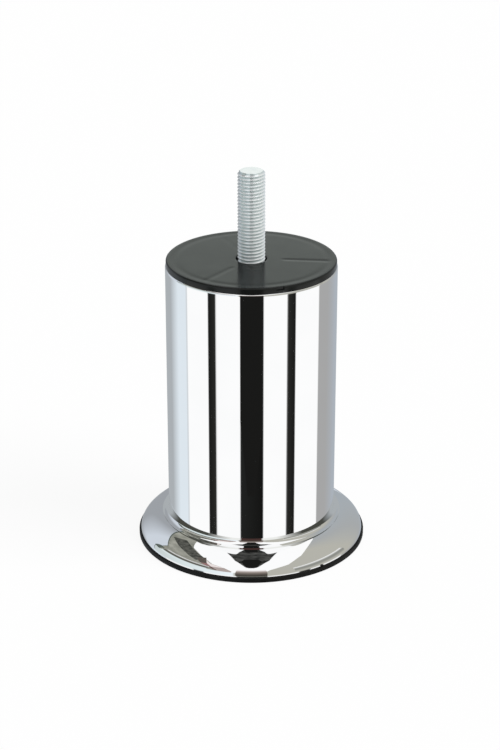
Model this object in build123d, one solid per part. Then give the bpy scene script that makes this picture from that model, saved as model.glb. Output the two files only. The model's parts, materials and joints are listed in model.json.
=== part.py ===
from build123d import *
import math
import os

# Furniture leg: a chromed tube with a flared foot, a threaded stud on top and a plastic pad below.
# Millimetres, +Z up, origin on the floor at the middle of the pad. The front of the leg faces -Y.

# Overall sizes
LEG_HEIGHT = 87.8        # floor to the face that meets the furniture
TUBE_OD = 50.0
TUBE_WALL = 1.2
TUBE_EDGE_ROUND = 0.45   # outer edge of the tube's cut end

# Flared foot, from the rim up to the tube
RIM_LAND = 0.5           # upright band at the rim
SHOULDER_RADIUS = 4.0    # outer radius of the rolled-over edge
SHOULDER_TURN = 45.0     # degrees that the rolled edge turns through
CROWN_RADIUS = 13.4      # outer radius of the domed stretch above it
FLARE_TURN = 76.0        # degrees that the edge and the dome turn through together
COVE_RADIUS = 1.6        # outer radius of the bend into the tube

# Threaded stud: a hex bolt clamped through a plate across the tube
THREAD_RADIUS = 4.0
THREAD_PITCH = 1.0
STUD_REACH = 26.5        # bolt end above the seat face
BOLT_END_CHAMFER = 0.7
HEX_FLATS = 13.0         # across flats of the bolt head and the nut
HEX_BEVEL = 30.0         # degrees of the corner bevel
HEAD_HEIGHT = 5.3
NUT_HEIGHT = 6.5
NUT_TO_CAP = 5.2         # free height between the nut and the cap
NUT_COUNTERSINK = 0.5
WASHER_THICKNESS = 2.0
WASHER_WALL = 3.2
WASHER_SPLIT = 1.2       # width of the washer's slanted split
WASHER_SPLIT_SLANT = 20.0
PLATE_THICKNESS = 3.0

# Top cap
CAP_RIM_HEIGHT = 1.8
CAP_RIM_INSET = 0.2      # rim of the cap inside the tube's outer face
CAP_EDGE_ROUND = 0.45
CAP_HOLE_CLEARANCE = 0.5
SKIRT_WALL = 1.5
HUB_WALL = 1.6
CAP_RIB_COUNT = 3
CAP_RIB_WIDTH = 1.5
CAP_RIB_SETBACK = 4.0    # rib's lower edge above the skirt's
CAP_RIB_TURN = -5.0      # degrees from +X to the first rib
GRIP_RIB_COUNT = 8
GRIP_RIB_WIDTH = 1.2
GRIP_RIB_LEAD = 1.5      # plain lead-in below the grip ribs
GATE_TURN = -71.0        # degrees from +X to the moulding gate's nick
GATE_WIDTH = 2.4
GATE_DEPTH = 0.45
GATE_HEIGHT = 1.0

# Base pad
PAD_SEAT = 0.9           # floor to the seat of the chrome rim
PAD_LIP_HEIGHT = 0.5     # lip outside the rim, above the seat
PAD_LIP_WALL = 0.45
PAD_EDGE_ROUND = 0.15
PAD_RING_WALL = 1.4      # top of the upright ring inside the rim
PAD_RING_TURN = 40.0     # degrees that the ring follows the rolled edge
PAD_WEB = 1.3            # thickness of the sole inside the tread
PAD_RIB_COUNT = 6
PAD_RIB_WIDTH = 1.6
PAD_BOSS_RADIUS = 5.0
PAD_TREAD_WIDTH = 10.0   # ring of the underside that stands on the floor
PAD_RECESS = 0.7         # underside inside that ring
TREAD_GROOVE_COUNT = 3
TREAD_GROOVE_WIDTH = 0.8
TREAD_GROOVE_DEPTH = 0.4
NUB_TURN = -52.0         # degrees from +X to the moulding nub on the lip
NUB_WIDTH = 0.8
NUB_DEPTH = 0.2
NUB_HEIGHT = 0.6

# Clearances
PLATE_CLEARANCE = 0.05   # plate in the tube's bore
BOLT_CLEARANCE = 0.2     # bolt in the plate and the washer
THREAD_CLEARANCE = 0.02  # bolt in the nut
NUT_CLEARANCE = 0.6      # nut and washer in the cap's hub
SKIRT_CLEARANCE = 0.4    # skirt in the tube's bore
GRIP_CLEARANCE = 0.03    # grip ribs in the tube's bore
PLUG_CLEARANCE = 0.3     # skirt and hub above the plate
RIM_CLEARANCE = 0.05     # pad round the chrome rim

# Worked out from the sizes above
edge_cos = math.cos(math.radians(SHOULDER_TURN))
flare_cos = math.cos(math.radians(FLARE_TURN))
tube_r = TUBE_OD / 2
bore_r = tube_r - TUBE_WALL
tube_top = LEG_HEIGHT - CAP_RIM_HEIGHT
crown_r = tube_r + COVE_RADIUS * (1 - flare_cos) + CROWN_RADIUS * (edge_cos - flare_cos)
rim_r = crown_r + SHOULDER_RADIUS * (1 - edge_cos)
rim_top = PAD_SEAT + RIM_LAND
pitch_r = THREAD_RADIUS - 3 / 8 * THREAD_PITCH * math.cos(math.radians(30))
hex_corner_r = HEX_FLATS / math.sqrt(3)
bolt_hole_r = THREAD_RADIUS + BOLT_CLEARANCE
bolt_end = LEG_HEIGHT + STUD_REACH
nut_top = tube_top - NUT_TO_CAP
nut_seat = nut_top - NUT_HEIGHT
plate_top = nut_seat - WASHER_THICKNESS
plate_bottom = plate_top - PLATE_THICKNESS
plug_bottom = plate_top + PLUG_CLEARANCE
skirt_r = bore_r - SKIRT_CLEARANCE
washer_r = bolt_hole_r + WASHER_WALL
hub_r = max(hex_corner_r, washer_r) + NUT_CLEARANCE
pad_lip_r = rim_r + RIM_CLEARANCE
pad_r = pad_lip_r + PAD_LIP_WALL
pad_lip_top = PAD_SEAT + PAD_LIP_HEIGHT
pad_ring_r = rim_r - TUBE_WALL - RIM_CLEARANCE
pad_web_top = PAD_RECESS + PAD_WEB
pad_edge_round = min(PAD_EDGE_ROUND, PAD_LIP_WALL / 2, PAD_LIP_HEIGHT / 2)


def ring_section(inner, outer, low, high):
    """Half section of a ring about Z, on the XZ plane."""
    corner = (Align.MIN, Align.MIN)
    return Plane.XZ * Pos(inner, low) * Rectangle(outer - inner, high - low, align=corner)


def ring(inner, outer, low, high):
    return revolve(ring_section(inner, outer, low, high), Axis.Z)


def radial_bar(inner, outer, width, low, high, angle):
    """Upright bar along a radius, turned about Z."""
    block = Box(outer - inner, width, high - low, align=(Align.MIN, Align.CENTER, Align.MIN))
    return Rot(0, 0, angle) * Pos(inner, 0, low) * block


def around(count, first=0.0):
    """Evenly spaced angles."""
    return [first + 360 * i / count for i in range(count)]


def rim_edges(solid, radius, height):
    """Circular edges about Z at one radius and height."""
    circles = solid.edges().filter_by(GeomType.CIRCLE)
    return [e for e in circles if abs(e.radius - radius) < 1e-6 and abs(e.center().Z - height) < 1e-6]


def hex_blank(low, high, bevel_low, bevel_high):
    """Hexagonal prism with its corners bevelled at one end or both."""
    blank = Pos(0, 0, low) * extrude(RegularPolygon(hex_corner_r, 6), high - low)
    flat_r = HEX_FLATS / 2
    drop = (hex_corner_r - flat_r) * math.tan(math.radians(HEX_BEVEL))
    outline = [
        (0, low),
        (flat_r if bevel_low else hex_corner_r, low),
        (hex_corner_r, low + drop if bevel_low else low),
        (hex_corner_r, high - drop if bevel_high else high),
        (flat_r if bevel_high else hex_corner_r, high),
        (0, high),
    ]
    points = [p for i, p in enumerate(outline) if i == 0 or p != outline[i - 1]]
    return blank & revolve(make_face(Plane.XZ * Polyline(*points, close=True)), Axis.Z)


def make_leg_tube():
    """Tube whose lower end is spun out to a rolled rim, one wall all the way."""
    with BuildPart() as tube:
        with BuildSketch(Plane.XZ):
            with BuildLine():
                land = Line((rim_r, PAD_SEAT), (rim_r, rim_top))
                shoulder = JernArc(land @ 1, land % 1, SHOULDER_RADIUS, SHOULDER_TURN)
                crown = JernArc(shoulder @ 1, shoulder % 1, CROWN_RADIUS, FLARE_TURN - SHOULDER_TURN)
                cove = JernArc(crown @ 1, crown % 1, COVE_RADIUS, -FLARE_TURN)
                Line(cove @ 1, (tube_r, tube_top))
                offset(amount=TUBE_WALL, side=Side.LEFT)
            make_face()
        revolve(axis=Axis.Z)
        fillet(rim_edges(tube.part, tube_r, tube_top), TUBE_EDGE_ROUND)
    return tube.part


def make_top_cap():
    """Moulded plug: rim on the tube's end, skirt in the bore, hub round the nut, ribs between."""
    cap_r = tube_r - CAP_RIM_INSET
    hole_r = THREAD_RADIUS + CAP_HOLE_CLEARANCE
    hub_outer = hub_r + HUB_WALL
    skirt_inner = skirt_r - SKIRT_WALL
    disc = ring(hole_r, cap_r, tube_top, LEG_HEIGHT)
    disc = fillet(rim_edges(disc, cap_r, LEG_HEIGHT), CAP_EDGE_ROUND)
    cap = Rot(0, 0, GATE_TURN) * disc + ring(skirt_inner, skirt_r, plug_bottom, tube_top)
    cap += ring(hub_r, hub_outer, plug_bottom, tube_top)
    hub_middle = hub_r + HUB_WALL / 2
    skirt_middle = skirt_r - SKIRT_WALL / 2
    rib_low = plug_bottom + CAP_RIB_SETBACK
    for angle in around(CAP_RIB_COUNT, CAP_RIB_TURN):
        cap += radial_bar(hub_middle, skirt_middle, CAP_RIB_WIDTH, rib_low, tube_top, angle)
    grip = Part()
    grip_low = plug_bottom + GRIP_RIB_LEAD
    for angle in around(GRIP_RIB_COUNT):
        grip += radial_bar(skirt_middle, bore_r, GRIP_RIB_WIDTH, grip_low, tube_top, angle)
    bore_limit = Pos(0, 0, plug_bottom) * extrude(Circle(bore_r - GRIP_CLEARANCE), tube_top - plug_bottom)
    cap += grip & bore_limit
    nick_low = LEG_HEIGHT - GATE_HEIGHT
    return cap - radial_bar(cap_r - GATE_DEPTH, tube_r, GATE_WIDTH, nick_low, LEG_HEIGHT, GATE_TURN)


def make_stud_bolt():
    """Hex bolt, head down, with its thread drawn plain.

    The thread has its outer radius where it stands free above the seat. Inside the leg, where the
    nut is on it, it has its pitch radius.
    """
    head = hex_blank(plate_bottom - HEAD_HEIGHT, plate_bottom, True, False)
    held = Pos(0, 0, plate_bottom) * extrude(Circle(pitch_r), LEG_HEIGHT - plate_bottom)
    free = Pos(0, 0, LEG_HEIGHT) * extrude(Circle(THREAD_RADIUS), STUD_REACH)
    free = chamfer(rim_edges(free, THREAD_RADIUS, bolt_end), BOLT_END_CHAMFER)
    return head + held + free


def make_stud_plate():
    """Disc welded across the bore, with the bolt's hole."""
    return ring(bolt_hole_r, bore_r - PLATE_CLEARANCE, plate_bottom, plate_top)


def make_lock_washer():
    """Spring washer, pressed flat, with its slanted split to the rear."""
    washer = ring(bolt_hole_r, washer_r, plate_top, nut_seat)
    rear = (Align.CENTER, Align.MIN, Align.CENTER)
    cutter = Box(WASHER_SPLIT, washer_r + WASHER_WALL, WASHER_THICKNESS * 2, align=rear)
    middle = plate_top + WASHER_THICKNESS / 2
    return washer - Pos(0, 0, middle) * Rot(0, WASHER_SPLIT_SLANT, 0) * cutter


def make_lock_nut():
    """Hex nut, its thread drawn plain at the pitch radius, countersunk at both faces."""
    bore = pitch_r + THREAD_CLEARANCE
    nut = hex_blank(nut_seat, nut_top, True, True)
    nut -= Pos(0, 0, nut_seat) * extrude(Circle(bore), NUT_HEIGHT)
    mouths = rim_edges(nut, bore, nut_seat) + rim_edges(nut, bore, nut_top)
    return chamfer(mouths, NUT_COUNTERSINK)


def pad_blank():
    """Pad without its ribs and grooves: sole, lip outside the chrome rim, ring along the rim's inner face.

    Also gives the radius and the height of the ring's inner top edge.
    """
    roll_r = SHOULDER_RADIUS - TUBE_WALL - RIM_CLEARANCE
    with BuildSketch(Plane.XZ) as section:
        with BuildLine():
            wall = Line((pad_ring_r, PAD_SEAT), (pad_ring_r, rim_top))
            roll = JernArc(wall @ 1, wall % 1, roll_r, PAD_RING_TURN)
            ring_top = (roll @ 1).Y
            ring_inner = (roll @ 1).X - PAD_RING_WALL
            Polyline(
                roll @ 1,
                (ring_inner, ring_top),
                (ring_inner, pad_web_top),
                (0, pad_web_top),
                (0, 0),
                (pad_r, 0),
                (pad_r, pad_lip_top),
                (pad_lip_r, pad_lip_top),
                (pad_lip_r, PAD_SEAT),
                wall @ 0,
            )
        make_face()
    blank = revolve(section.sketch, Axis.Z)
    outer_edges = rim_edges(blank, pad_r, 0) + rim_edges(blank, pad_r, pad_lip_top)
    return fillet(outer_edges, pad_edge_round), ring_inner, ring_top


def make_base_pad():
    """Moulded floor pad pressed into the flare, ribbed above and grooved below."""
    pad, ring_inner, ring_top = pad_blank()
    pad += Pos(0, 0, pad_web_top) * extrude(Circle(PAD_BOSS_RADIUS), ring_top - pad_web_top)
    ring_middle = ring_inner + PAD_RING_WALL / 2
    for angle in around(PAD_RIB_COUNT):
        pad += radial_bar(PAD_BOSS_RADIUS / 2, ring_middle, PAD_RIB_WIDTH, pad_web_top, ring_top, angle)
    nub_inner = (pad_lip_r + pad_r - pad_edge_round - NUB_DEPTH) / 2
    nub_top = pad_lip_top + NUB_HEIGHT
    pad += radial_bar(nub_inner, nub_inner + NUB_DEPTH, NUB_WIDTH, pad_lip_top, nub_top, NUB_TURN)
    tread_inner = pad_r - PAD_TREAD_WIDTH
    pad -= extrude(Circle(tread_inner), PAD_RECESS)
    step = PAD_TREAD_WIDTH / (TREAD_GROOVE_COUNT + 1)
    for i in range(TREAD_GROOVE_COUNT):
        inner = tread_inner + step * (i + 1) - TREAD_GROOVE_WIDTH / 2
        pad -= ring(inner, inner + TREAD_GROOVE_WIDTH, 0, TREAD_GROOVE_DEPTH)
    return pad


def main():
    os.makedirs("parts", exist_ok=True)
    parts = {
        "leg_tube": make_leg_tube(),
        "top_cap": make_top_cap(),
        "stud_bolt": make_stud_bolt(),
        "stud_plate": make_stud_plate(),
        "lock_washer": make_lock_washer(),
        "lock_nut": make_lock_nut(),
        "base_pad": make_base_pad(),
    }
    for name, solid in parts.items():
        export_step(solid, f"parts/{name}.step")


main()
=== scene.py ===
import json
import math

import bpy
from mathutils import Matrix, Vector


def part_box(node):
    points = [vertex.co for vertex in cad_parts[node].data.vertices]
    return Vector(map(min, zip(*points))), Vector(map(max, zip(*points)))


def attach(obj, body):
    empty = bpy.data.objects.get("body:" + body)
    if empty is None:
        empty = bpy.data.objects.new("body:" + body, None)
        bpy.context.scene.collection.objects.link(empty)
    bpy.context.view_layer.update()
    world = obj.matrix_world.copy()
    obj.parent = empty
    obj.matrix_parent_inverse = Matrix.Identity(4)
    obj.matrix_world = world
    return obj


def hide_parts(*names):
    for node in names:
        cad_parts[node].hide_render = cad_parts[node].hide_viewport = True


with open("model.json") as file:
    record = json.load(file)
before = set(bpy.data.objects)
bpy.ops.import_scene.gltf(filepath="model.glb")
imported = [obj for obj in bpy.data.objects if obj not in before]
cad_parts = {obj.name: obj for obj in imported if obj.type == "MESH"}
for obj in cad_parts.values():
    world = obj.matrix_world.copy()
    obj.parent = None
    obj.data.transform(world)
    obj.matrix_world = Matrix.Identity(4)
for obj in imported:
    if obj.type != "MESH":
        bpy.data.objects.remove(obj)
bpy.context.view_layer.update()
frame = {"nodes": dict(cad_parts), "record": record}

# Furniture leg: a chromed tube with a flared foot, a black cap with a zinc-plated stud
# and a black floor pad. Metres, +Z up, origin on the floor at the middle of the pad.
# The front of the leg faces -Y.

MM = 0.001
QUARTER = math.pi / 2        # of a turn
BODY = "root"

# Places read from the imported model
tube_low, tube_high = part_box("leg_tube")
cap_low, cap_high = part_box("top_cap")
bolt_low, bolt_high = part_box("stud_bolt")
plate_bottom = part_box("stud_plate")[0].z
nut_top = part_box("lock_nut")[1].z
pad_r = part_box("base_pad")[1].x
stud_mount = next(m for m in frame["record"]["mounts"] if m["name"] == "stud")
thread_r = stud_mount["dims"]["r_mm"] * MM
rim_r = tube_high.x
rim_seat = tube_low.z
tube_top = tube_high.z
cap_top = cap_high.z
plug_bottom = cap_low.z
bolt_end = bolt_high.z
head_bottom = bolt_low.z
hex_corner_r = bolt_high.x
hex_flat_r = bolt_high.y

# Chromed tube, as its wall runs from the rim up
TUBE_WALL = 1.2 * MM
TUBE_EDGE_ROUND = 0.45 * MM
RIM_LAND = 0.5 * MM
SHOULDER_RADIUS = 4.0 * MM
SHOULDER_TURN = math.radians(45)
CROWN_RADIUS = 13.4 * MM
FLARE_TURN = math.radians(76)
COVE_RADIUS = 1.6 * MM
RIM_DULL = 0.3 * MM          # band of the rolled edge where the mirror finish fades in
SUPPORT = 0.25 * MM          # loops that hold the mirror finish straight beside a bend

crown_r = rim_r - SHOULDER_RADIUS * (1 - math.cos(SHOULDER_TURN))
cove_r = crown_r - CROWN_RADIUS * (math.cos(SHOULDER_TURN) - math.cos(FLARE_TURN))
tube_r = cove_r - COVE_RADIUS * (1 - math.cos(FLARE_TURN))
bore_r = tube_r - TUBE_WALL

# Cap
CAP_RIM_INSET = 0.2 * MM
CAP_EDGE_ROUND = 0.45 * MM
CAP_HOLE_RADIUS = 4.5 * MM
CAP_HOLE_ROUND = 0.15 * MM
SKIRT_CLEARANCE = 0.4 * MM
SKIRT_WALL = 1.5 * MM
HUB_CLEARANCE = 0.6 * MM     # round the corners of the nut
HUB_WALL = 1.6 * MM
CAP_RIB_WIDTH = 1.5 * MM
CAP_RIB_SETBACK = 4.0 * MM
GRIP_RIB_COUNT = 8
GRIP_RIB_WIDTH = 1.2 * MM
GRIP_RIB_LEAD = 1.5 * MM
GRIP_CLEARANCE = 0.03 * MM
GATE_ANGLE = math.radians(-71)
GATE_WIDTH = 2.4 * MM
GATE_DEPTH = 0.45 * MM
GATE_HEIGHT = 1.0 * MM
SINK_REACH = 1.5 * MM        # from the middle of a hollow to its edge
SKIRT_SINK_DEPTH = 0.05 * MM
SKIRT_SINK_REACH = 1.6 * MM
CAP_TOP_RINGS = 30

# Angle of each rib of the cap, and depth of the hollow over it in the top face
CAP_RIBS = [
    (math.radians(-5), 0.075 * MM),
    (math.radians(115), 0.015 * MM),
    (math.radians(235), 0.045 * MM),
]

cap_r = tube_r - CAP_RIM_INSET
skirt_r = bore_r - SKIRT_CLEARANCE
skirt_inner = skirt_r - SKIRT_WALL
hub_r = hex_corner_r + HUB_CLEARANCE
hub_outer = hub_r + HUB_WALL

# Stud, with the proportions of a metric thread
THREAD_PITCH = 1.0 * MM
THREAD_DEPTH = 0.6134 * THREAD_PITCH
THREAD_CREST = THREAD_PITCH / 8
THREAD_ROUND = 0.06 * MM
FLANK_TURN = math.radians(60)
BOLT_END_CHAMFER = 0.7 * MM
HEX_BEVEL = math.radians(30)

pitch_r = thread_r - 3 / 8 * THREAD_PITCH * math.cos(FLANK_TURN / 2)

# Pad
PAD_LIP_HEIGHT = 0.5 * MM
PAD_EDGE_ROUND = 0.15 * MM
RIM_CLEARANCE = 0.05 * MM
PAD_RING_WALL = 1.4 * MM
PAD_RING_TURN = math.radians(40)
PAD_RECESS = 0.7 * MM
PAD_WEB = 1.3 * MM
PAD_RIB_COUNT = 6
PAD_RIB_WIDTH = 1.6 * MM
PAD_BOSS_RADIUS = 5.0 * MM
PAD_TREAD_WIDTH = 10.0 * MM
TREAD_GROOVE_COUNT = 3
TREAD_GROOVE_WIDTH = 0.8 * MM
TREAD_GROOVE_DEPTH = 0.4 * MM
NUB_ANGLE = math.radians(-52)
NUB_WIDTH = 0.8 * MM
NUB_DEPTH = 0.2 * MM
NUB_HEIGHT = 0.6 * MM

tread_inner = pad_r - PAD_TREAD_WIDTH
pad_lip_r = rim_r + RIM_CLEARANCE
pad_lip_top = rim_seat + PAD_LIP_HEIGHT
pad_ring_r = rim_r - TUBE_WALL - RIM_CLEARANCE
pad_web_top = PAD_RECESS + PAD_WEB

# Depth to which joined pieces run into each other
OVERLAP = 0.5 * MM

# How near points are merged, or count as being on a circle or on the cap's top
MERGE_DISTANCE = MM / 1000
CIRCLE_SLACK = 0.01 * MM
TOP_SLACK = 0.1 * MM

# Smoothness of turned forms
ROUND_STEPS = 256
BEND_STEPS = 28
THREAD_STEPS = 72
THREAD_ROUND_STEPS = 2
TUBE_EDGE_STEPS = 5
CAP_HOLE_STEPS = 4
CAP_EDGE_STEPS = 8
PAD_RING_STEPS = 6
PAD_EDGE_STEPS = 5
WALL_STEPS = 180
SMOOTH_ANGLE = math.radians(32)

# Finishes: the two colours and the two roughnesses that each drifts between
CHROME_TINTS = (0.955, 0.960, 0.965), (0.975, 0.978, 0.982)
CHROME_ROUGHNESS = 0.012, 0.035
RIM_ROUGHNESS = 0.12         # added at the rim, where the mirror finish fades in
ZINC_TINTS = (0.93, 0.965, 0.98), (0.975, 0.99, 1.0)
ZINC_ROUGHNESS = 0.22, 0.15
ZINC_METALLIC = 0.55
ZINC_GRAIN = 0.001 * MM
# Painted shade in the bottom of the thread: its colour, where it starts and where it has faded
GROOVE_SHADE_COLOUR = (0.60, 0.69, 0.69, 1)
GROOVE_MARGIN = 0.01         # the painted shade starts this share of the radius inside the thread's root
GROOVE_END = 0.97            # and has faded at this share of the radius
STEEL_TINTS = (0.32, 0.32, 0.33), (0.52, 0.52, 0.53)
STEEL_ROUGHNESS = 0.5, 0.35
CAP_TINTS = (0.0055, 0.0062, 0.0058), (0.0085, 0.0095, 0.0090)
CAP_ROUGHNESS = 0.20, 0.14
CAP_IOR = 1.34
CAP_GRAIN = 0.002 * MM
PAD_TINTS = (0.0035, 0.0035, 0.0035), (0.0065, 0.0065, 0.0065)
PAD_ROUGHNESS = 0.55, 0.42
PAD_IOR = 1.25
PAD_GRAIN = 0.01 * MM
NOISE_LOW, NOISE_HIGH = 0.3, 0.7     # most of the noise lies between these
WHITE = (1.0, 1.0, 1.0, 1.0)
NO_LIGHT = (0.0, 0.0, 0.0, 1.0)

# Camera at the photograph's viewing angle
CAMERA_DISTANCE = 0.6
CAMERA_ELEVATION = math.radians(23.13)
CAMERA_TARGET = Vector((-0.4 * MM, 0, 51.15 * MM))
CAMERA_LENS = 97.3

# Floor, lamp and the even light of the world
FLOOR_SIZE = 6.0
FLOOR_COLOUR = (0.95, 0.95, 0.95, 1)
FLOOR_WHITE = 0.90           # share of plain white in what the camera sees of the floor
LAMP_TILT = math.radians(52)
LAMP_TURN = math.radians(70)
LAMP_ANGLE = math.radians(40)
LAMP_ENERGY = 2.3
WORLD_LEVEL = 0.55

# Cards and walls of the studio, far enough off that the chrome sees directions only
CEILING_HEIGHT = 20.0
CEILING_LAYER = 0.002        # step between layers of cards, as a share of the height
DRUM_RADIUS = 30.0
DRUM_LEAN = math.radians(0.5)
PANEL_DISTANCE = 15.0
PANEL_LAYER = 0.01           # step between layers of panels, as a share of the distance
GRADIENT_LAYER = 2
BAND_BLUR = 0.3              # degrees
WALL_FOOT = -27.9            # elevations in degrees, as seen from the leg
WALL_TOP = 12
STRIPES_TOP = -20
HORIZON_FOOT = -13
SKIRTING_FOOT = -82

# Two cards close to the leg: a dark strip in front, its corners in mm to the right and up,
# and a ring over the bend at the tube's foot, which paints shade and reflections into the bend
FLAG_DISTANCE = 40 * MM
FLAG_CORNERS = [(-2.4, 16), (-7.2, 40), (-7.2, 84), (7.5, 84), (7.5, 40), (2.4, 16)]
BEND_RING_RADIUS = 26.9 * MM
BEND_RING_LOW = 7.35 * MM
BEND_RING_HIGH = 8.75 * MM


def srgb(red, green, blue):
    """Linear colour of a screen colour given from 0 to 255."""
    def linear(value):
        share = value / 255
        return share / 12.92 if share <= 0.04045 else ((share + 0.055) / 1.055) ** 2.4
    return (linear(red), linear(green), linear(blue), 1.0)


class Profile:
    """A line on the XZ plane, drawn from one vertex by extruding and spinning it.

    A heading of 0 points outwards along +X, a quarter turn points up.
    """

    def __init__(self, name, radius, height, heading=0.0):
        bpy.ops.object.select_all(action="DESELECT")
        bpy.ops.mesh.primitive_plane_add(size=MM, location=(radius, 0, height))
        self.piece = bpy.context.object
        self.piece.name = name
        self.piece.data.name = name
        bpy.ops.object.transform_apply(location=True)
        bpy.ops.object.mode_set(mode="EDIT")
        bpy.ops.mesh.select_mode(type="VERT")
        bpy.ops.mesh.select_all(action="SELECT")
        bpy.ops.mesh.merge(type="CENTER")
        self.end = Vector((radius, 0, height))
        self.heading = heading

    def go(self, move):
        """Straight stretch by a move."""
        bpy.ops.mesh.extrude_vertices_move(TRANSFORM_OT_translate={"value": move})
        self.end = self.end + Vector(move)

    def forward(self, length):
        """Straight stretch along the heading."""
        self.go((length * math.cos(self.heading), 0, length * math.sin(self.heading)))

    def line_to(self, radius, height, cuts=1):
        """Straight stretch to a place, in equal cuts."""
        step = (Vector((radius, 0, height)) - self.end) / cuts
        for _ in range(cuts):
            self.go(step)

    def arc(self, radius, turn, steps=BEND_STEPS):
        """Bend that leaves along the heading, to the left for a positive turn."""
        side = math.copysign(radius, turn)
        to_centre = Vector((-math.sin(self.heading), 0, math.cos(self.heading)))
        centre = self.end + to_centre * side
        bpy.ops.mesh.spin(steps=steps, angle=turn, center=centre, axis=(0, 1, 0))
        self.heading += turn
        from_centre = Vector((math.sin(self.heading), 0, -math.cos(self.heading)))
        self.end = centre + from_centre * side

    def spin_round(self, steps=ROUND_STEPS):
        """Turns the line about Z into a skin that faces outwards."""
        bpy.ops.mesh.select_all(action="SELECT")
        bpy.ops.mesh.remove_doubles(threshold=MERGE_DISTANCE)
        bpy.ops.mesh.spin(steps=steps, angle=math.tau, center=(0, 0, 0), axis=(0, 0, 1))
        bpy.ops.mesh.select_all(action="SELECT")
        bpy.ops.mesh.remove_doubles(threshold=MERGE_DISTANCE)
        bpy.ops.mesh.normals_make_consistent(inside=False)
        bpy.ops.object.mode_set(mode="OBJECT")
        return self.piece


def select_only(piece):
    """Makes a piece the one that the next operators act on."""
    bpy.ops.object.select_all(action="DESELECT")
    piece.select_set(True)
    bpy.context.view_layer.objects.active = piece


def apply_modifier(piece, kind, **settings):
    """Adds a modifier with its settings and applies it."""
    select_only(piece)
    modifier = piece.modifiers.new(kind, kind)
    for setting, value in settings.items():
        setattr(modifier, setting, value)
    bpy.ops.object.modifier_apply(modifier=modifier.name)


def combine(piece, operation, tool):
    """Joins, cuts or trims a piece with a tool, which is used up."""
    apply_modifier(piece, "BOOLEAN", operation=operation, object=tool, solver="EXACT")
    bpy.data.objects.remove(tool)


def select_edges(piece, wanted):
    """Selects the edges whose two ends pass a test, in edit mode."""
    select_only(piece)
    bpy.ops.object.mode_set(mode="EDIT")
    bpy.ops.mesh.select_mode(type="EDGE")
    bpy.ops.mesh.select_all(action="DESELECT")
    bpy.ops.object.mode_set(mode="OBJECT")
    points = [v.co for v in piece.data.vertices]
    for edge in piece.data.edges:
        edge.select = all(wanted(points[i]) for i in edge.vertices)
    bpy.ops.object.mode_set(mode="EDIT")


def join(pieces):
    """Makes separate pieces one."""
    bpy.ops.object.select_all(action="DESELECT")
    for piece in pieces:
        piece.select_set(True)
    bpy.context.view_layer.objects.active = pieces[0]
    bpy.ops.object.join()
    return pieces[0]


def press(piece, wanted, depth, reach):
    """Sinks the edges that pass a test, and ever less of the face around them."""
    select_edges(piece, wanted)
    bpy.ops.transform.translate(value=(0, 0, -depth), use_proportional_edit=True,
                                proportional_size=reach, proportional_edit_falloff="SMOOTH")
    bpy.ops.object.mode_set(mode="OBJECT")


def on_circle(radius, height):
    """Test for points on one circle about Z."""
    def test(point):
        across, up = abs(point.xy.length - radius), abs(point.z - height)
        return across < CIRCLE_SLACK and up < CIRCLE_SLACK
    return test


def radial_bar(name, inner, outer, width, low, high, angle):
    """Upright bar along a radius."""
    middle = (inner + outer) / 2
    place = (middle * math.cos(angle), middle * math.sin(angle), (low + high) / 2)
    bpy.ops.object.select_all(action="DESELECT")
    bpy.ops.mesh.primitive_cube_add(size=1, location=place, rotation=(0, 0, angle))
    bar = bpy.context.object
    bar.name = name
    bar.scale = (outer - inner, width, high - low)
    bpy.ops.object.transform_apply(location=True, rotation=True, scale=True)
    return bar


def dress(piece, material, node):
    """Smooth shading, finish, and the solid that the piece stands for."""
    select_only(piece)
    bpy.ops.object.shade_smooth_by_angle(angle=SMOOTH_ANGLE)
    piece.data.materials.clear()
    piece.data.materials.append(material)
    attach(piece, BODY)
    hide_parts(node)


# Finishes

def new_finish(name):
    """Material with its nodes, its links and its shader."""
    material = bpy.data.materials.new(name)
    material.use_nodes = True
    nodes = material.node_tree.nodes
    return material, nodes, material.node_tree.links, nodes["Principled BSDF"]


def own_place(nodes):
    """Places in the piece's own coordinates."""
    return nodes.new("ShaderNodeTexCoord").outputs["Object"]


def noise(nodes, links, scale, detail, stretch=(1, 1, 1)):
    """Noise in the piece's own coordinates."""
    mapping = nodes.new("ShaderNodeMapping")
    mapping.inputs["Scale"].default_value = stretch
    texture = nodes.new("ShaderNodeTexNoise")
    texture.inputs["Scale"].default_value = scale
    texture.inputs["Detail"].default_value = detail
    links.new(own_place(nodes), mapping.inputs["Vector"])
    links.new(mapping.outputs["Vector"], texture.inputs["Vector"])
    return texture.outputs["Fac"]


def map_range(nodes, links, source, low, high, at_low, at_high):
    """Value that changes evenly as the source runs from low to high."""
    ranged = nodes.new("ShaderNodeMapRange")
    ranged.inputs["From Min"].default_value = low
    ranged.inputs["From Max"].default_value = high
    ranged.inputs["To Min"].default_value = at_low
    ranged.inputs["To Max"].default_value = at_high
    links.new(source, ranged.inputs["Value"])
    return ranged.outputs["Result"]


def by_height(nodes, links, low, high, at_low=0.0, at_high=1.0):
    """Value that changes evenly from one height to another."""
    axes = nodes.new("ShaderNodeSeparateXYZ")
    links.new(own_place(nodes), axes.inputs["Vector"])
    return map_range(nodes, links, axes.outputs["Z"], low, high, at_low, at_high)


def ramp(nodes, links, source, stops):
    """Colour that runs through stops, each a place from 0 to 1 and a colour."""
    node = nodes.new("ShaderNodeValToRGB")
    elements = node.color_ramp.elements
    for place, colour in stops:
        elements.new(place).color = colour
    elements.remove(elements[0])
    elements.remove(elements[-1])
    links.new(source, node.inputs["Fac"])
    return node.outputs["Color"]


def spread(nodes, links, source, low, high):
    """Noise brought to a range of values."""
    return map_range(nodes, links, source, NOISE_LOW, NOISE_HIGH, low, high)


def tint(nodes, links, source, dark, light):
    """Noise brought to a range of colours."""
    stops = [(NOISE_LOW, (*dark, 1)), (NOISE_HIGH, (*light, 1))]
    return ramp(nodes, links, source, stops)


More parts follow.
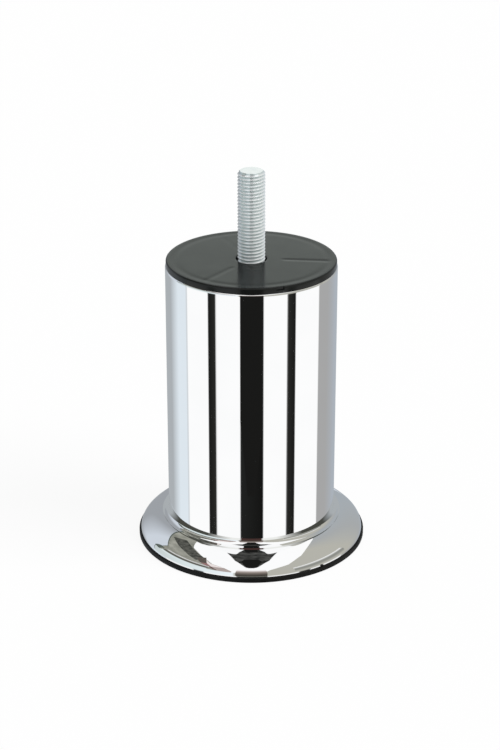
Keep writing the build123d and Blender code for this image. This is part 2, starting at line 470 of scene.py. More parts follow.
def mottle(nodes, links, shader, marks, tints, roughness):
    """Colour and roughness that drift together with the marks on a surface."""
    links.new(tint(nodes, links, marks, *tints), shader.inputs["Base Color"])
    links.new(spread(nodes, links, marks, *roughness), shader.inputs["Roughness"])


def relief(nodes, links, shader, source, depth):
    """Fine relief that the light picks out."""
    bump = nodes.new("ShaderNodeBump")
    bump.inputs["Distance"].default_value = depth
    links.new(source, bump.inputs["Height"])
    links.new(bump.outputs["Normal"], shader.inputs["Normal"])


def make_chrome():
    """Mirror finish with faint wipe marks, dull along the rim where it leaves the pad."""
    material, nodes, links, shader = new_finish("bright_chrome")
    shader.inputs["Metallic"].default_value = 1.0
    cloud = noise(nodes, links, scale=60, detail=2)
    links.new(tint(nodes, links, cloud, *CHROME_TINTS), shader.inputs["Base Color"])
    wipe = noise(nodes, links, scale=400, detail=4, stretch=(1, 1, 0.2))
    gloss = spread(nodes, links, wipe, *CHROME_ROUGHNESS)
    land_top = rim_seat + RIM_LAND
    dull = by_height(nodes, links, land_top, land_top + RIM_DULL, RIM_ROUGHNESS, 0.0)
    total = nodes.new("ShaderNodeMath")
    total.operation = "ADD"
    links.new(gloss, total.inputs[0])
    links.new(dull, total.inputs[1])
    links.new(total.outputs["Value"], shader.inputs["Roughness"])
    return material


def paint_groove_shade(nodes, links, colour):
    """Colour of the plating, with painted shade in the bottom of the thread."""
    across = nodes.new("ShaderNodeVectorMath")
    across.operation = "MULTIPLY"
    across.inputs[1].default_value = (1 / thread_r, 1 / thread_r, 0)
    share = nodes.new("ShaderNodeVectorMath")
    share.operation = "LENGTH"
    links.new(own_place(nodes), across.inputs[0])
    links.new(across.outputs["Vector"], share.inputs[0])
    root = 1 - THREAD_DEPTH / thread_r
    stops = [(root - 2 * GROOVE_MARGIN, NO_LIGHT), (root - GROOVE_MARGIN, WHITE),
             (GROOVE_END, NO_LIGHT)]
    depth = ramp(nodes, links, share.outputs["Value"], stops)
    groove = nodes.new("ShaderNodeMix")
    groove.data_type = "RGBA"
    groove.inputs["B"].default_value = GROOVE_SHADE_COLOUR
    links.new(depth, groove.inputs["Factor"])
    links.new(colour, groove.inputs["A"])
    return groove.outputs["Result"]


def make_zinc(name, threaded=False):
    """Bluish white plating."""
    material, nodes, links, shader = new_finish(name)
    shader.inputs["Metallic"].default_value = ZINC_METALLIC
    cloud = noise(nodes, links, scale=350, detail=3)
    colour = tint(nodes, links, cloud, *ZINC_TINTS)
    if threaded:
        # Painted shade in the bottom of the thread's grooves
        colour = paint_groove_shade(nodes, links, colour)
    links.new(colour, shader.inputs["Base Color"])
    links.new(spread(nodes, links, cloud, *ZINC_ROUGHNESS), shader.inputs["Roughness"])
    grain = noise(nodes, links, scale=3000, detail=2)
    relief(nodes, links, shader, grain, ZINC_GRAIN)
    return material


def make_steel():
    """Rolled steel with marks of scale along it."""
    material, nodes, links, shader = new_finish("rolled_steel")
    shader.inputs["Metallic"].default_value = 1.0
    scale_marks = noise(nodes, links, scale=120, detail=5, stretch=(0.2, 1, 1))
    mottle(nodes, links, shader, scale_marks, STEEL_TINTS, STEEL_ROUGHNESS)
    return material


def make_cap_plastic():
    """Smooth black plastic of the cap."""
    material, nodes, links, shader = new_finish("black_cap_plastic")
    shader.inputs["IOR"].default_value = CAP_IOR
    cloud = noise(nodes, links, scale=150, detail=3)
    mottle(nodes, links, shader, cloud, CAP_TINTS, CAP_ROUGHNESS)
    grain = noise(nodes, links, scale=2500, detail=3)
    relief(nodes, links, shader, grain, CAP_GRAIN)
    return material


def make_pad_plastic():
    """Dull black plastic of the pad."""
    material, nodes, links, shader = new_finish("black_pad_plastic")
    shader.inputs["IOR"].default_value = PAD_IOR
    cloud = noise(nodes, links, scale=200, detail=3)
    mottle(nodes, links, shader, cloud, PAD_TINTS, PAD_ROUGHNESS)
    grain = noise(nodes, links, scale=2000, detail=3)
    relief(nodes, links, shader, grain, PAD_GRAIN)
    return material


# Pieces

def make_chromed_tube():
    """Tube whose lower end is flared to a rolled rim, one wall all the way."""
    line = Profile("chromed_tube", rim_r, rim_seat, QUARTER)
    line.forward(RIM_LAND - SUPPORT)
    line.forward(SUPPORT)
    line.arc(SHOULDER_RADIUS, SHOULDER_TURN)
    line.arc(CROWN_RADIUS, FLARE_TURN - SHOULDER_TURN)
    line.arc(COVE_RADIUS, -FLARE_TURN)
    line.forward(SUPPORT)
    line.line_to(tube_r, tube_top - TUBE_EDGE_ROUND - SUPPORT)
    line.line_to(tube_r, tube_top)
    tube = line.spin_round()
    apply_modifier(tube, "SOLIDIFY", thickness=TUBE_WALL, offset=-1, use_even_offset=True)
    select_edges(tube, on_circle(tube_r, tube_top))
    bpy.ops.mesh.bevel(offset=TUBE_EDGE_ROUND, segments=TUBE_EDGE_STEPS)
    bpy.ops.object.mode_set(mode="OBJECT")
    return tube


def make_moulded_cap():
    """Disc on the tube's end, skirt with grip ribs in its bore, hub round the nut, ribs between."""
    line = Profile("moulded_cap", CAP_HOLE_RADIUS, tube_top, QUARTER)
    line.line_to(CAP_HOLE_RADIUS, cap_top - CAP_HOLE_ROUND)
    line.arc(CAP_HOLE_ROUND, -QUARTER, CAP_HOLE_STEPS)
    line.line_to(cap_r - CAP_EDGE_ROUND, cap_top, CAP_TOP_RINGS)
    line.arc(CAP_EDGE_ROUND, -QUARTER, CAP_EDGE_STEPS)
    line.line_to(cap_r, tube_top)
    line.line_to(skirt_r, tube_top)
    line.line_to(skirt_r, plug_bottom)
    line.line_to(skirt_inner, plug_bottom)
    line.line_to(skirt_inner, tube_top)
    line.line_to(hub_outer, tube_top)
    line.line_to(hub_outer, plug_bottom)
    line.line_to(hub_r, plug_bottom)
    line.line_to(hub_r, tube_top)
    line.line_to(CAP_HOLE_RADIUS, tube_top)
    cap = line.spin_round()

    bar_top = tube_top + OVERLAP
    rib_low = plug_bottom + CAP_RIB_SETBACK
    grip_low = plug_bottom + GRIP_RIB_LEAD
    hub_middle = hub_r + HUB_WALL / 2
    skirt_middle = skirt_r - SKIRT_WALL / 2
    bars = [radial_bar("rib", hub_middle, skirt_middle, CAP_RIB_WIDTH, rib_low, bar_top, angle)
            for angle, _ in CAP_RIBS]
    for i in range(GRIP_RIB_COUNT):
        bars.append(radial_bar("grip_rib", skirt_middle + OVERLAP / 2, bore_r - GRIP_CLEARANCE,
                               GRIP_RIB_WIDTH, grip_low, bar_top,
                               math.tau * i / GRIP_RIB_COUNT))
    combine(cap, "UNION", join(bars))
    nick = radial_bar("nick", cap_r - GATE_DEPTH, tube_r + OVERLAP, GATE_WIDTH,
                      cap_top - GATE_HEIGHT, cap_top + OVERLAP, GATE_ANGLE)
    combine(cap, "DIFFERENCE", nick)
    sink_cap_top(cap, skirt_middle)
    return cap


def sink_cap_top(cap, skirt_middle):
    """Shallow hollows in the cap's top, over its ribs and over its skirt."""
    def on_top(point):
        return abs(point.z - cap_top) < TOP_SLACK

    for angle, depth in CAP_RIBS:
        along = Vector((math.cos(angle), math.sin(angle)))

        def over_rib(point):
            aside = abs(along.x * point.y - along.y * point.x)
            reach = along.dot(point.xy)
            in_line = aside < reach * math.pi / ROUND_STEPS
            return on_top(point) and hub_outer < reach < skirt_inner and in_line

        press(cap, over_rib, depth, SINK_REACH)

    ring_gap = (cap_r - CAP_EDGE_ROUND - CAP_HOLE_RADIUS) / CAP_TOP_RINGS

    def over_skirt(point):
        return on_top(point) and abs(point.xy.length - skirt_middle) < ring_gap / 2

    press(cap, over_skirt, SKIRT_SINK_DEPTH, SKIRT_SINK_REACH)


def make_threaded_stud():
    """Hex bolt, head down, with a right-hand thread on the length that stands clear of the nut."""
    thread_low = nut_top + OVERLAP
    stud = make_thread(thread_low)

    clear_r = thread_r + OVERLAP
    line = Profile("stud_end", 0, thread_low)
    line.line_to(clear_r, thread_low)
    line.line_to(clear_r, bolt_end - BOLT_END_CHAMFER - OVERLAP)
    line.line_to(thread_r - BOLT_END_CHAMFER, bolt_end)
    line.line_to(0, bolt_end)
    combine(stud, "INTERSECT", line.spin_round(THREAD_STEPS))

    line = Profile("shank", 0, plate_bottom - OVERLAP)
    line.line_to(pitch_r, plate_bottom - OVERLAP)
    line.line_to(pitch_r, thread_low + OVERLAP)
    line.line_to(0, thread_low + OVERLAP)
    combine(stud, "UNION", line.spin_round(THREAD_STEPS))
    combine(stud, "UNION", make_hex_head())
    return stud


def make_thread(thread_low):
    """Closed rod with the thread's turns, longer at both ends than the stud."""
    corner = THREAD_ROUND * math.tan(FLANK_TURN / 2)
    flank = THREAD_DEPTH / math.cos(FLANK_TURN / 2) - 2 * corner
    flank_rise = THREAD_DEPTH * math.tan(FLANK_TURN / 2)
    half_root = (THREAD_PITCH - THREAD_CREST) / 2 - flank_rise - corner
    root_r = thread_r - THREAD_DEPTH
    line = Profile("threaded_stud", root_r, thread_low - THREAD_PITCH, QUARTER)
    line.forward(half_root)
    line.arc(THREAD_ROUND, -FLANK_TURN, THREAD_ROUND_STEPS)
    line.forward(flank)
    line.arc(THREAD_ROUND, FLANK_TURN, THREAD_ROUND_STEPS)
    line.forward(THREAD_CREST - 2 * corner)
    line.arc(THREAD_ROUND, FLANK_TURN, THREAD_ROUND_STEPS)
    line.forward(flank)
    line.arc(THREAD_ROUND, -FLANK_TURN, THREAD_ROUND_STEPS)
    line.forward(half_root)
    bpy.ops.object.mode_set(mode="OBJECT")
    turns = math.ceil((bolt_end - thread_low) / THREAD_PITCH) + 2
    apply_modifier(line.piece, "SCREW", axis="Z", angle=math.tau, screw_offset=THREAD_PITCH,
                   iterations=turns, steps=THREAD_STEPS, render_steps=THREAD_STEPS)

    # The open ends are drawn in to a point
    bpy.ops.object.mode_set(mode="EDIT")
    bpy.ops.mesh.select_mode(type="EDGE")
    bpy.ops.mesh.select_all(action="SELECT")
    bpy.ops.mesh.remove_doubles(threshold=MERGE_DISTANCE)
    bpy.ops.mesh.select_all(action="DESELECT")
    bpy.ops.mesh.select_non_manifold(extend=False, use_wire=False, use_multi_face=False,
                                     use_non_contiguous=False, use_verts=False)
    bpy.ops.mesh.extrude_edges_move()
    bpy.ops.mesh.merge(type="COLLAPSE")
    bpy.ops.mesh.select_all(action="SELECT")
    bpy.ops.mesh.normals_make_consistent(inside=False)
    bpy.ops.object.mode_set(mode="OBJECT")
    return line.piece


def make_hex_head():
    """Bolt head with the corners of its lower end bevelled."""
    height = plate_bottom - head_bottom
    middle = (0, 0, head_bottom + height / 2)
    bpy.ops.object.select_all(action="DESELECT")
    bpy.ops.mesh.primitive_cylinder_add(vertices=6, radius=hex_corner_r, depth=height,
                                        rotation=(0, 0, QUARTER), location=middle)
    head = bpy.context.object
    head.name = "hex_head"
    bpy.ops.object.transform_apply(location=True, rotation=True)
    clear_r = hex_corner_r + OVERLAP
    line = Profile("head_bevel", 0, head_bottom)
    line.line_to(hex_flat_r, head_bottom)
    line.line_to(clear_r, head_bottom + (clear_r - hex_flat_r) * math.tan(HEX_BEVEL))
    line.line_to(clear_r, plate_bottom + OVERLAP)
    line.line_to(0, plate_bottom + OVERLAP)
    combine(head, "INTERSECT", line.spin_round(THREAD_STEPS))
    return head


def make_floor_pad():
    """Sole with a grooved tread, lip outside the chrome rim, ring inside it, ribs to a boss."""
    line = Profile("floor_pad", pad_ring_r, rim_seat, QUARTER)
    line.line_to(pad_ring_r, rim_seat + RIM_LAND)
    line.arc(SHOULDER_RADIUS - TUBE_WALL - RIM_CLEARANCE, PAD_RING_TURN, PAD_RING_STEPS)
    ring_inner = line.end.x - PAD_RING_WALL
    ring_top = line.end.z
    line.line_to(ring_inner, ring_top)
    line.line_to(ring_inner, pad_web_top)
    line.line_to(0, pad_web_top)
    line.line_to(0, PAD_RECESS)
    line.line_to(tread_inner, PAD_RECESS)
    line.line_to(tread_inner, 0)
    step = PAD_TREAD_WIDTH / (TREAD_GROOVE_COUNT + 1)
    for i in range(TREAD_GROOVE_COUNT):
        groove = tread_inner + step * (i + 1) - TREAD_GROOVE_WIDTH / 2
        line.line_to(groove, 0)
        line.line_to(groove, TREAD_GROOVE_DEPTH)
        line.line_to(groove + TREAD_GROOVE_WIDTH, TREAD_GROOVE_DEPTH)
        line.line_to(groove + TREAD_GROOVE_WIDTH, 0)
    line.line_to(pad_r - PAD_EDGE_ROUND, 0)
    line.heading = 0
    line.arc(PAD_EDGE_ROUND, QUARTER, PAD_EDGE_STEPS)
    line.line_to(pad_r, pad_lip_top - PAD_EDGE_ROUND)
    line.arc(PAD_EDGE_ROUND, QUARTER, PAD_EDGE_STEPS)
    line.line_to(pad_lip_r, pad_lip_top)
    line.line_to(pad_lip_r, rim_seat)
    line.line_to(pad_ring_r, rim_seat)
    pad = line.spin_round()

    bar_low = pad_web_top - OVERLAP
    line = Profile("boss", 0, bar_low)
    line.line_to(PAD_BOSS_RADIUS, bar_low)
    line.line_to(PAD_BOSS_RADIUS, ring_top)
    line.line_to(0, ring_top)
    combine(pad, "UNION", line.spin_round(THREAD_STEPS))
    ring_middle = ring_inner + PAD_RING_WALL / 2
    bars = []
    for i in range(PAD_RIB_COUNT):
        bars.append(radial_bar("rib", PAD_BOSS_RADIUS / 2, ring_middle, PAD_RIB_WIDTH,
                               bar_low, ring_top, math.tau * i / PAD_RIB_COUNT))
    nub_inner = (pad_lip_r + pad_r - PAD_EDGE_ROUND - NUB_DEPTH) / 2
    bars.append(radial_bar("nub", nub_inner, nub_inner + NUB_DEPTH, NUB_WIDTH,
                           pad_lip_top - OVERLAP / 2, pad_lip_top + NUB_HEIGHT, NUB_ANGLE))
    combine(pad, "UNION", join(bars))
    return pad


# Light of the studio's cards

def glow(name, colour=WHITE):
    """Light of one colour, with its nodes, its links and its lamp."""
    material = bpy.data.materials.new(name)
    material.use_nodes = True
    nodes, links = material.node_tree.nodes, material.node_tree.links
    nodes.remove(nodes["Principled BSDF"])
    lamp = nodes.new("ShaderNodeEmission")
    lamp.inputs["Color"].default_value = colour
    links.new(lamp.outputs["Emission"], nodes["Material Output"].inputs["Surface"])
    material.cycles.emission_sampling = "NONE"
    return material, nodes, links, lamp


def plain_glow(name, colour):
    """Light of one colour."""
    return glow(name, colour)[0]


def uneven_glow(name, dark, light, scale):
    """Light that drifts between two colours."""
    material, nodes, links, lamp = glow(name, light)
    cloud = noise(nodes, links, scale, detail=3)
    links.new(tint(nodes, links, cloud, dark[:3], light[:3]), lamp.inputs["Color"])
    return material


def band_colour(nodes, links, bands):
    """Colours in bands round the leg.

    Azimuth runs from -180 to 180 degrees, 0 in front and positive to the right. A band is its
    first azimuth and its colours there and at its end.
    """
    turn = nodes.new("ShaderNodeMapping")
    turn.inputs["Rotation"].default_value = (0, 0, QUARTER)
    azimuth = nodes.new("ShaderNodeTexGradient")
    azimuth.gradient_type = "RADIAL"
    links.new(own_place(nodes), turn.inputs["Vector"])
    links.new(turn.outputs["Vector"], azimuth.inputs["Vector"])
    ends = [band[0] for band in bands[1:]] + [180]
    stops = []
    for (start, first, last), end in zip(bands, ends):
        stops.append(((start + BAND_BLUR + 180) / 360, first))
        stops.append(((end - BAND_BLUR + 180) / 360, last))
    return ramp(nodes, links, azimuth.outputs["Fac"], stops)


def azimuth_glow(name, bands):
    """Light in bands round the leg."""
    material, nodes, links, lamp = glow(name)
    links.new(band_colour(nodes, links, bands), lamp.inputs["Color"])
    return material


def blended_glow(name, lower, upper, low, high):
    """Light in bands that change from one set to another between two heights."""
    material, nodes, links, lamp = glow(name)
    blend = nodes.new("ShaderNodeMix")
    blend.data_type = "RGBA"
    links.new(by_height(nodes, links, low, high), blend.inputs["Factor"])
    links.new(band_colour(nodes, links, lower), blend.inputs["A"])
    links.new(band_colour(nodes, links, upper), blend.inputs["B"])
    links.new(blend.outputs["Result"], lamp.inputs["Color"])
    return material


def height_glow(name, stops):
    """Light that changes with height. A stop is a height and its colour."""
    material, nodes, links, lamp = glow(name)
    low, high = stops[0][0], stops[-1][0]
    shares = [((z - low) / (high - low), colour) for z, colour in stops]
    height = by_height(nodes, links, low, high)
    links.new(ramp(nodes, links, height, shares), lamp.inputs["Color"])
    return material


# Cards and walls of the studio

def mirror_only(card, material):
    """A card of the studio that only polished surfaces see."""
    card.data.materials.append(material)
    card.visible_camera = False
    card.visible_diffuse = False
    card.visible_shadow = False
    card.visible_volume_scatter = False


def studio_card(name, corners, material):
    """Flat card through its corners."""
    line = Profile(name, 0, 0)
    line.go(corners[0])
    for start, end in zip(corners, corners[1:]):
        line.go(Vector(end) - Vector(start))
    bpy.ops.mesh.select_all(action="DESELECT")
    bpy.ops.object.mode_set(mode="OBJECT")
    line.piece.data.vertices[0].select = True
    bpy.ops.object.mode_set(mode="EDIT")
    bpy.ops.mesh.delete(type="VERT")
    bpy.ops.mesh.select_all(action="SELECT")
    bpy.ops.mesh.edge_face_add()
    bpy.ops.object.mode_set(mode="OBJECT")
    mirror_only(line.piece, material)


def ceiling_card(name, corners, material, layer):
    """Card on the ceiling. Corners are shares of its height: to the right and to the front."""
    height = CEILING_HEIGHT * (1 - CEILING_LAYER * layer)
    places = [(right * height, -front * height, height) for right, front in corners]
    studio_card(name, places, material)


def wall_panel(name, facing, left, right, low, high, layer, material):
    """Upright panel, square to an azimuth. Its edges are shares of its distance."""
    turn = math.radians(facing)
    outward = Vector((math.sin(turn), -math.cos(turn), 0))
    across = Vector((math.cos(turn), math.sin(turn), 0))
    up = Vector((0, 0, 1))
    distance = PANEL_DISTANCE * (1 - PANEL_LAYER * layer)
    edges = [(left, low), (right, low), (right, high), (left, high)]
    studio_card(name, [(outward + across * a + up * b) * distance for a, b in edges], material)


def gradient_panel(name, facing, half_width, stops):
    """Upright panel whose light changes with height.

    A stop is an elevation in degrees and its colour.
    """
    shares = [(math.tan(math.radians(angle)), colour) for angle, colour in stops]
    heights = [(share * PANEL_DISTANCE, colour) for share, colour in shares]
    low, high = shares[0][0], shares[-1][0]
    wall_panel(name, facing, -half_width, half_width, low, high, GRADIENT_LAYER,
               height_glow(name, heights))


def round_wall(name, radius, low, high):
    """Wall all round the leg between two heights."""
    line = Profile(name, radius, low)
    line.line_to(radius, high)
    return line.spin_round(WALL_STEPS)


def drum_height(elevation):
    """Height on the drum of an elevation in degrees."""
    return DRUM_RADIUS * math.tan(math.radians(elevation))


def studio_drum(name, low, high, material):
    """Round wall between two elevations, leaning down to the front."""
    drum = round_wall(name, DRUM_RADIUS, drum_height(low), drum_height(high))
    drum.rotation_euler.x = DRUM_LEAN
    mirror_only(drum, material)


BLACK = srgb(26, 26, 25)
DARK_GREY = srgb(42, 42, 40)
STRIPE_LIGHT = srgb(33, 34, 33)
STRIPE_DARK = srgb(21, 21, 20)
CEILING_DARK = srgb(27, 29, 28)
CEILING_DIM = srgb(84, 84, 82)
BORDER = srgb(52, 54, 50)
BORDER_LIGHT = srgb(104, 104, 98)
LEFT_WALL_DIM = srgb(128, 129, 120)
LEFT_WALL = srgb(168, 168, 158)
CORNER_LIGHT = srgb(236, 226, 224)
CORNER_DARK = srgb(176, 164, 160)
CORNER_BROWN = srgb(92, 86, 80)
CORNER_RED = srgb(150, 115, 114)
CORNER_SHADE = srgb(104, 80, 80)
RIGHT_WALL = srgb(182, 181, 172)
REAR_RIGHT = srgb(168, 171, 172)
REAR_EDGE = srgb(166, 173, 179)
PANEL_DIM = srgb(158, 162, 167)
PANEL_LIGHT = srgb(206, 213, 222)
PANEL_EDGE = srgb(90, 98, 92)
GLOW_DIM = srgb(198, 207, 207)
GLOW = srgb(220, 231, 232)
GLOW_LIGHT = srgb(240, 247, 252)
FRONT_GREY = srgb(84, 83, 80)
SIDE_BRIGHT = srgb(224, 233, 240)
SIDE_GREY = srgb(172, 177, 181)
SIDE_LINE = srgb(211, 216, 220)
FLAT_GREY = srgb(168, 168, 168)
EDGE_GREY = srgb(172, 179, 187)
# Painted shade and painted reflections of the tube, which the chrome shows in its bend
BEND_SIDE_REFLECTION = srgb(170, 175, 178)
BEND_SHADE = srgb(70, 71, 66)
BEND_PALE_REFLECTION = srgb(238, 239, 236)
NECK_REFLECTION = srgb(70, 50, 47)

# Bands of light on the walls, from the rear round by the left
PANEL_BANDS = [
    (-180, PANEL_DIM, PANEL_DIM),
    (-152, PANEL_DIM, PANEL_LIGHT),
    (-128, PANEL_LIGHT, PANEL_LIGHT),
]
RIGHT_BANDS = [
    (-17, RIGHT_WALL, RIGHT_WALL),
    (112, RIGHT_WALL, REAR_RIGHT),
    (142, REAR_RIGHT, REAR_EDGE),
    (165, REAR_EDGE, REAR_EDGE),
]
STRIPE_BANDS = [
    (-180, SIDE_GREY, SIDE_GREY),
    (-138, SIDE_GREY, SIDE_BRIGHT),
    (-115, SIDE_BRIGHT, SIDE_BRIGHT),
    (-98, SIDE_LINE, SIDE_LINE),
    (-95, WHITE, WHITE),
    (-60, BLACK, DARK_GREY),
    (-48, WHITE, WHITE),
    (-15, STRIPE_LIGHT, STRIPE_DARK),
    (15.8, WHITE, WHITE),
    (49, DARK_GREY, BLACK),
    (61, WHITE, WHITE),
    (101.5, FLAT_GREY, FLAT_GREY),
    (122, FLAT_GREY, EDGE_GREY),
    (150, EDGE_GREY, EDGE_GREY),
]
HORIZON_BANDS = PANEL_BANDS + [
    (-113, GLOW_DIM, GLOW),
    (-65, GLOW, GLOW_LIGHT),
] + RIGHT_BANDS
SKIRTING_BANDS = PANEL_BANDS + [
    (-113, GLOW_DIM, GLOW_LIGHT),
    (-17, FRONT_GREY, FRONT_GREY),
    (17, RIGHT_WALL, RIGHT_WALL),
    (65, RIGHT_WALL, REAR_EDGE),
]
# Painted shade and painted reflections round the bend at the tube's foot, from the rear round by
# the left
BEND_REFLECTION_BANDS = [
    (-180, BEND_SIDE_REFLECTION, BEND_SIDE_REFLECTION),
    (-82, BEND_SIDE_REFLECTION, BEND_SHADE),
    (-66, BEND_SHADE, BEND_SHADE),
    (-34, BEND_SHADE, BEND_PALE_REFLECTION),
    (-14, BEND_PALE_REFLECTION, BEND_PALE_REFLECTION),
    (-8, NECK_REFLECTION, NECK_REFLECTION),
    (8, BEND_PALE_REFLECTION, BEND_PALE_REFLECTION),
    (18, BEND_PALE_REFLECTION, BEND_SHADE),
    (40, BEND_SHADE, BEND_SHADE),
    (64, BEND_SHADE, BEND_SIDE_REFLECTION),
    (82, BEND_SIDE_REFLECTION, BEND_SIDE_REFLECTION),
]

# Ceiling seen from the leg, as shares of its height: to the right and to the front
FAR = 16.0
REAR_HALF = 0.2
LEFT_BOUND = [
    (-REAR_HALF, -1.0), (-0.36, -0.63), (-0.54, -0.31), (-0.577, 0),
    (-0.58, 0.6), (-0.6, 1.0), (-0.94, 2.6), (-5.75, FAR),
]
RIGHT_BOUND = [
    (REAR_HALF, -1.0), (0.42, -0.73), (0.51, -0.3), (0.575, 0),
    (0.555, 0.4), (0.55, 1.5), (0.71, 2.65), (4.05, FAR),
]
BORDER_CORNERS = [
    (-0.50, -0.62), (-0.56, -0.31), (-0.59, 0), (-0.58, 0.16),
    (-0.84, 0.22), (-0.86, 0), (-0.84, -0.40), (-0.74, -0.75),
]
STRIP_CORNERS = [
    (-0.20, -0.3), (0.21, -0.3), (0.20, 0.2), (0.04, 0.72), (-0.04, 0.72), (-0.18, 0.2),
]

# Line where the left wall meets the front one, the light and dark fields inside it, and the
# lengths of the dark edge along it
CORNER_START, CORNER_SLOPE = -0.56, -0.52
CORNER_SIDE = -0.6
CORNER_LIGHT_FROM, CORNER_LIGHT_TO = 0.12, 1.0
CORNER_EDGE_LEFT, CORNER_EDGE_RIGHT = -0.10, 0.08
CORNER_EDGE_LENGTHS = [
    ("corner_brown", 0.1, 0.42, CORNER_BROWN),
    ("corner_red", 0.42, 0.9, CORNER_RED),
    ("corner_shade", 0.9, 3.0, CORNER_SHADE),
]

# Light panel at the rear left with its frame, and the dark opening beside it: azimuth, left and
# right edge, lower and upper edge, layer
PANEL_FRAME = (-150, -0.9, 0.80, -0.27, 0.93, -1)
LIGHT_PANEL = (-150, -0.9, 0.78, -0.27, 0.90, 0)
DARK_OPENING = (-109, -0.07, 0.07, 0.14, 0.53, 1)

# Panels whose light changes with height: name, azimuth, half width as a share of the distance,
# and the colours from the lowest elevation up
GRADIENT_PANELS = [
    ("rear_light", 180, 0.17, [
        (3, srgb(222, 228, 226)),
        (14, srgb(236, 244, 239)),
        (20, srgb(228, 237, 231)),
        (26, srgb(160, 167, 163)),
        (33, srgb(124, 128, 126)),
    ]),
    ("left_low", -74, 0.55, [
        (10, GLOW),
        (17, GLOW),
        (20, srgb(88, 88, 80)),
        (28, srgb(96, 96, 88)),
        (36, srgb(150, 150, 140)),
    ]),
    ("right_low", 74, 0.60, [
        (-8, RIGHT_WALL),
        (3, srgb(146, 147, 141)),
        (13, srgb(140, 141, 135)),
        (26, RIGHT_WALL),
    ]),
    ("front_low", 0, 0.28, [
        (-16, srgb(62, 60, 55)),
        (-6, srgb(72, 68, 63)),
        (1, srgb(90, 83, 78)),
        (7, srgb(110, 101, 95)),
        (12, srgb(126, 117, 111)),
        (18, srgb(148, 137, 131)),
        (25, srgb(186, 176, 172)),
        (33, srgb(242, 236, 236)),
        (40, WHITE),
    ]),
]


def corner_edge(front):
    """Place to the right of the corner line, at a place to the front."""
    return CORNER_START + CORNER_SLOPE * front


def build_ceiling():
    """Ceiling that is open to the white over the leg, but for a dark strip."""
    rear_left, rear_right = (-REAR_HALF, -FAR), (REAR_HALF, -FAR)
    ceiling_card("right_ceiling", RIGHT_BOUND + [(FAR, FAR), (FAR, -FAR), rear_right],
                 azimuth_glow("right_ceiling", RIGHT_BANDS), layer=0)
    ceiling_card("left_ceiling", LEFT_BOUND + [(-FAR, FAR), (-FAR, -FAR), rear_left],
                 uneven_glow("left_ceiling", LEFT_WALL_DIM, LEFT_WALL, scale=0.25), layer=0)
    ceiling_card("rear_ceiling", [LEFT_BOUND[0], RIGHT_BOUND[0], rear_right, rear_left],
                 plain_glow("rear_ceiling", REAR_RIGHT), layer=0)
    ceiling_card("ceiling_border", BORDER_CORNERS,
                 uneven_glow("ceiling_border", BORDER, BORDER_LIGHT, scale=0.6), layer=1)
    turn = (corner_edge(CORNER_LIGHT_TO), CORNER_LIGHT_TO)
    ceiling_card("corner_light",
                 [(CORNER_SIDE, CORNER_LIGHT_FROM), turn, (CORNER_SIDE, CORNER_LIGHT_TO)],
                 plain_glow("corner_light", CORNER_LIGHT), layer=1)
    ceiling_card("corner_dark", [turn, (corner_edge(FAR), FAR), *reversed(LEFT_BOUND[-3:])],
                 plain_glow("corner_dark", CORNER_DARK), layer=1)
    for name, first, last, colour in CORNER_EDGE_LENGTHS:
        ceiling_card(name, [(corner_edge(first) + CORNER_EDGE_LEFT, first),
                            (corner_edge(last) + CORNER_EDGE_LEFT, last),
                            (corner_edge(last) + CORNER_EDGE_RIGHT, last),
                            (corner_edge(first) + CORNER_EDGE_RIGHT, first)],
                     plain_glow(name, colour), layer=2)
    ceiling_card("dark_strip", STRIP_CORNERS,
                 uneven_glow("dark_strip", CEILING_DARK, CEILING_DIM, scale=0.5), layer=1)


def build_panels():
    """Dark strip close in front, and upright panels farther off."""
    studio_card("front_flag", [(x * MM, -FLAG_DISTANCE, z * MM) for x, z in FLAG_CORNERS],
                plain_glow("front_flag", BLACK))
    wall_panel("panel_frame", *PANEL_FRAME, plain_glow("panel_frame", PANEL_EDGE))
    wall_panel("light_panel", *LIGHT_PANEL, azimuth_glow("light_panel", PANEL_BANDS))
    wall_panel("dark_opening", *DARK_OPENING, plain_glow("dark_opening", PANEL_EDGE))
    for panel in GRADIENT_PANELS:
        gradient_panel(*panel)


def build_walls():
    """Round walls, whose stripes the tube mirrors, and a ring that paints shade and reflections
    into the bend at its foot.
    """
    walls = blended_glow("walls", STRIPE_BANDS, HORIZON_BANDS,
                         drum_height(STRIPES_TOP), drum_height(HORIZON_FOOT))
    studio_drum("walls", WALL_FOOT, WALL_TOP, walls)
    skirting = azimuth_glow("skirting", SKIRTING_BANDS)
    studio_drum("skirting", SKIRTING_FOOT, WALL_FOOT, skirting)
    # Ring that only the chrome sees, painting shade and reflections of the tube into the bend
    ring = round_wall("bend_shade_ring", BEND_RING_RADIUS, BEND_RING_LOW, BEND_RING_HIGH)
    mirror_only(ring, azimuth_glow("bend_shade_ring", BEND_REFLECTION_BANDS))


def build_world():
    """White for the camera and for polished surfaces, an even plain level for the rest."""
    world = bpy.data.worlds.new("studio_white")
    bpy.context.scene.world = world
    world.use_nodes = True
    nodes, links = world.node_tree.nodes, world.node_tree.links
    level = nodes["Background"]
    level.inputs["Color"].default_value = WHITE
    level.inputs["Strength"].default_value = WORLD_LEVEL
    backdrop = nodes.new("ShaderNodeBackground")
    backdrop.inputs["Color"].default_value = WHITE
    path = nodes.new("ShaderNodeLightPath")
    seen = path.outputs["Is Camera Ray"]
    for ray in ("Is Glossy Ray", "Is Transmission Ray"):
        either = nodes.new("ShaderNodeMath")
        either.operation = "MAXIMUM"
        links.new(seen, either.inputs[0])
        links.new(path.outputs[ray], either.inputs[1])
        seen = either.outputs["Value"]
    mix = nodes.new("ShaderNodeMixShader")
    links.new(seen, mix.inputs["Fac"])
    links.new(level.outputs["Background"], mix.inputs[1])
    links.new(backdrop.outputs["Background"], mix.inputs[2])
    links.new(mix.outputs["Shader"], nodes["World Output"].inputs["Surface"])


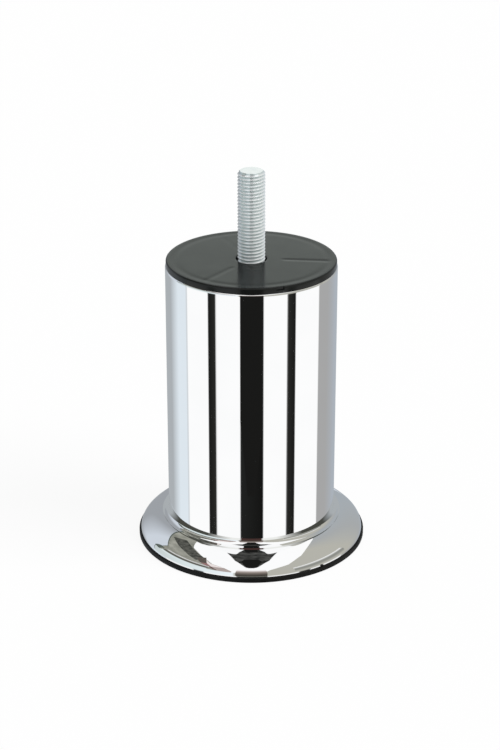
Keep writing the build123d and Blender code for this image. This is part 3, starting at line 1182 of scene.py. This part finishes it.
def build_floor():
    """Pale floor, white to the eye with a soft shadow, and clear from below."""
    bpy.ops.object.select_all(action="DESELECT")
    bpy.ops.mesh.primitive_plane_add(size=FLOOR_SIZE)
    floor = bpy.context.object
    floor.name = "studio_floor"
    material = bpy.data.materials.new("pale_floor")
    material.use_nodes = True
    nodes, links = material.node_tree.nodes, material.node_tree.links
    nodes.remove(nodes["Principled BSDF"])
    matt = nodes.new("ShaderNodeBsdfDiffuse")
    matt.inputs["Color"].default_value = FLOOR_COLOUR
    bright = nodes.new("ShaderNodeEmission")
    path = nodes.new("ShaderNodeLightPath")
    share = nodes.new("ShaderNodeMath")
    share.operation = "MULTIPLY"
    share.inputs[1].default_value = FLOOR_WHITE
    pale = nodes.new("ShaderNodeMixShader")
    clear = nodes.new("ShaderNodeBsdfTransparent")
    side = nodes.new("ShaderNodeNewGeometry")
    faced = nodes.new("ShaderNodeMixShader")
    links.new(path.outputs["Is Camera Ray"], share.inputs[0])
    links.new(share.outputs["Value"], pale.inputs["Fac"])
    links.new(matt.outputs["BSDF"], pale.inputs[1])
    links.new(bright.outputs["Emission"], pale.inputs[2])
    links.new(side.outputs["Backfacing"], faced.inputs["Fac"])
    links.new(pale.outputs["Shader"], faced.inputs[1])
    links.new(clear.outputs["BSDF"], faced.inputs[2])
    links.new(faced.outputs["Shader"], nodes["Material Output"].inputs["Surface"])
    floor.data.materials.append(material)
    floor.visible_glossy = False


def build_lamp():
    """Soft lamp to the right of the camera."""
    bpy.ops.object.light_add(type="SUN", rotation=(LAMP_TILT, 0, LAMP_TURN))
    lamp = bpy.context.object
    lamp.name = "soft_lamp"
    lamp.data.energy = LAMP_ENERGY
    lamp.data.angle = LAMP_ANGLE
    lamp.visible_glossy = False


def build_camera():
    """Camera in front of the leg, looking down on it."""
    back = Vector((0, -math.cos(CAMERA_ELEVATION), math.sin(CAMERA_ELEVATION)))
    tilt = (QUARTER - CAMERA_ELEVATION, 0, 0)
    bpy.ops.object.camera_add(location=CAMERA_TARGET + back * CAMERA_DISTANCE, rotation=tilt)
    camera = bpy.context.object
    camera.name = "camera"
    camera.data.lens = CAMERA_LENS
    bpy.context.scene.camera = camera


def build_leg():
    """Pieces in their finishes, and finishes for the nodes that stay as the CAD has them."""
    dress(make_chromed_tube(), make_chrome(), "leg_tube")
    dress(make_moulded_cap(), make_cap_plastic(), "top_cap")
    dress(make_threaded_stud(), make_zinc("threaded_zinc", True), "stud_bolt")
    dress(make_floor_pad(), make_pad_plastic(), "base_pad")
    zinc = make_zinc("bright_zinc")
    finishes = {"stud_plate": make_steel(), "lock_washer": zinc, "lock_nut": zinc}
    for node, finish in finishes.items():
        mesh = frame["nodes"][node].data
        mesh.materials.clear()
        mesh.materials.append(finish)


bpy.context.scene.view_settings.view_transform = "Standard"
build_leg()
build_ceiling()
build_panels()
build_walls()
build_world()
build_floor()
build_lamp()
build_camera()
